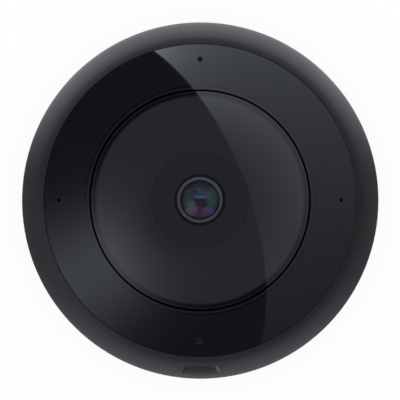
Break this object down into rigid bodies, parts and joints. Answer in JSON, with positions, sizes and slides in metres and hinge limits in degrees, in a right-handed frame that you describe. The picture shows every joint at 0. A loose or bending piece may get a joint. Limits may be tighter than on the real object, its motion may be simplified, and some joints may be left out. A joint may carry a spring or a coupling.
{
  "type": "fisheye security camera",
  "caption": "Round ceiling camera with a domed glossy face, a smoked window round one fisheye lens, a satin shell and a twist-lock mounting plate.",
  "frame": {"origin": "centre of the back face of the mounting plate, on the surface that it is screwed to", "axes": "+Z out of the mounting surface along the lens axis; +Y to the top of the picture, away from the release tab"},
  "size_m": [0.118, 0.118, 0.0451],
  "materials": {
    "plate_steel": "satin powder coat",
    "cast_aluminium": "satin dark coat on a casting",
    "satin_shell": "satin fine-textured moulding",
    "gloss_cover": "polished black",
    "silicone": "matt",
    "smoked_window": "polished smoked polycarbonate",
    "matt_shroud": "matt black",
    "bezel_grey": "turned and anodised grey",
    "lens_glass": "coated optical glass",
    "barrel_black": "matt black",
    "carrier_plastic": "matt",
    "filter_glass": "coated filter pane",
    "drive_metal": "plain magnet and arm",
    "coil_copper": "enamelled copper wire",
    "sensor_package": "ceramic package with a glass lid",
    "board_green": "solder mask",
    "spacer_brass": "turned brass",
    "connector_plastic": "natural nylon",
    "chip_black": "moulded epoxy",
    "pad_grey": "soft filled silicone",
    "board_black": "black solder mask",
    "lamp_resin": "epoxy lens tinted for infrared light",
    "microphone_can": "gold-plated can",
    "ferrite": "sintered ferrite with a taped winding",
    "capacitor_can": "drawn can",
    "light_guide": "frosted acrylic",
    "chip_ceramic": "ceramic",
    "ribbon_film": "polyimide film over copper tracks",
    "jack_shell": "plated sheet shield",
    "contact_gold": "gold-plated spring contacts",
    "spring_steel": "drawn wire",
    "plunger_plastic": "natural plastic",
    "screw_steel": "zinc plated"
  },
  "bodies": {
    "plate": {"mounting_plate": "plate_steel"},
    "camera": {"rear_cover": "cast_aluminium", "outer_shell": "satin_shell", "front_cover": "gloss_cover", "cover_seal": "silicone", "dome_window": "smoked_window", "window_seal": "silicone", "lens_shroud": "matt_shroud", "lens_bezel": "bezel_grey", "front_lens": "lens_glass", "inner_lenses": "lens_glass", "lens_barrel": "barrel_black", "lens_holder": "barrel_black", "filter_housing": "barrel_black", "drive_coil": "coil_copper", "image_sensor": "sensor_package", "sensor_board": "board_green", "board_spacers": "spacer_brass", "board_connector": "connector_plastic", "main_board": "board_green", "processor": "chip_black", "thermal_pad": "pad_grey", "lamp_board": "board_black", "infrared_lamps": "lamp_resin", "face_board": "board_black", "microphones": "microphone_can", "microphone_gaskets": "silicone", "power_transformer": "ferrite", "power_capacitors": "capacitor_can", "status_light_guide": "light_guide", "sensor_window": "smoked_window", "face_chips": "chip_ceramic", "ribbon_cables": "ribbon_film", "network_jack": "jack_shell", "jack_contacts": "contact_gold", "jack_seal": "silicone", "release_spring": "spring_steel", "reset_switch": "chip_black", "housing_screws": "screw_steel", "board_screws": "screw_steel", "sensor_screws": "screw_steel", "cover_screws": "screw_steel"},
    "filter_carrier": {"filter_carrier": "carrier_plastic", "filter_panes": "filter_glass"},
    "drive_arm": {"drive_arm": "drive_metal"},
    "release_tab": {"release_tab": "satin_shell"},
    "reset_plunger": {"reset_plunger": "plunger_plastic"}
  },
  "joints": [
    {"name": "twist_lock", "type": "hinge", "parent": "plate", "child": "camera", "pos_m": [0, 0, 0.005], "axis": [0, 0, 1], "range_deg": [0, 26]},
    {"name": "release_press", "type": "slide", "parent": "camera", "child": "release_tab", "axis": [0, 1, 0], "range_m": [0, 0.0015], "stiffness_N_per_m": 800, "springref_m": -0.0004, "deforming": ["release_spring"]},
    {"name": "reset_press", "type": "slide", "parent": "camera", "child": "reset_plunger", "axis": [0, 0, 1], "range_m": [0, 0.0005], "stiffness_N_per_m": 1200, "springref_m": -0.0002},
    {"name": "filter_slide", "type": "slide", "parent": "camera", "child": "filter_carrier", "axis": [1, 0, 0], "range_m": [0, 0.006]},
    {"name": "drive_turn", "type": "hinge", "parent": "camera", "child": "drive_arm", "pos_m": [0, 0.0118, 0.031], "axis": [0, 0, 1], "range_deg": [0, 60]}
  ],
  "couplings": [
    {"joint": "drive_turn", "follows": "filter_slide", "rad_per_m": 174.53}
  ]
}
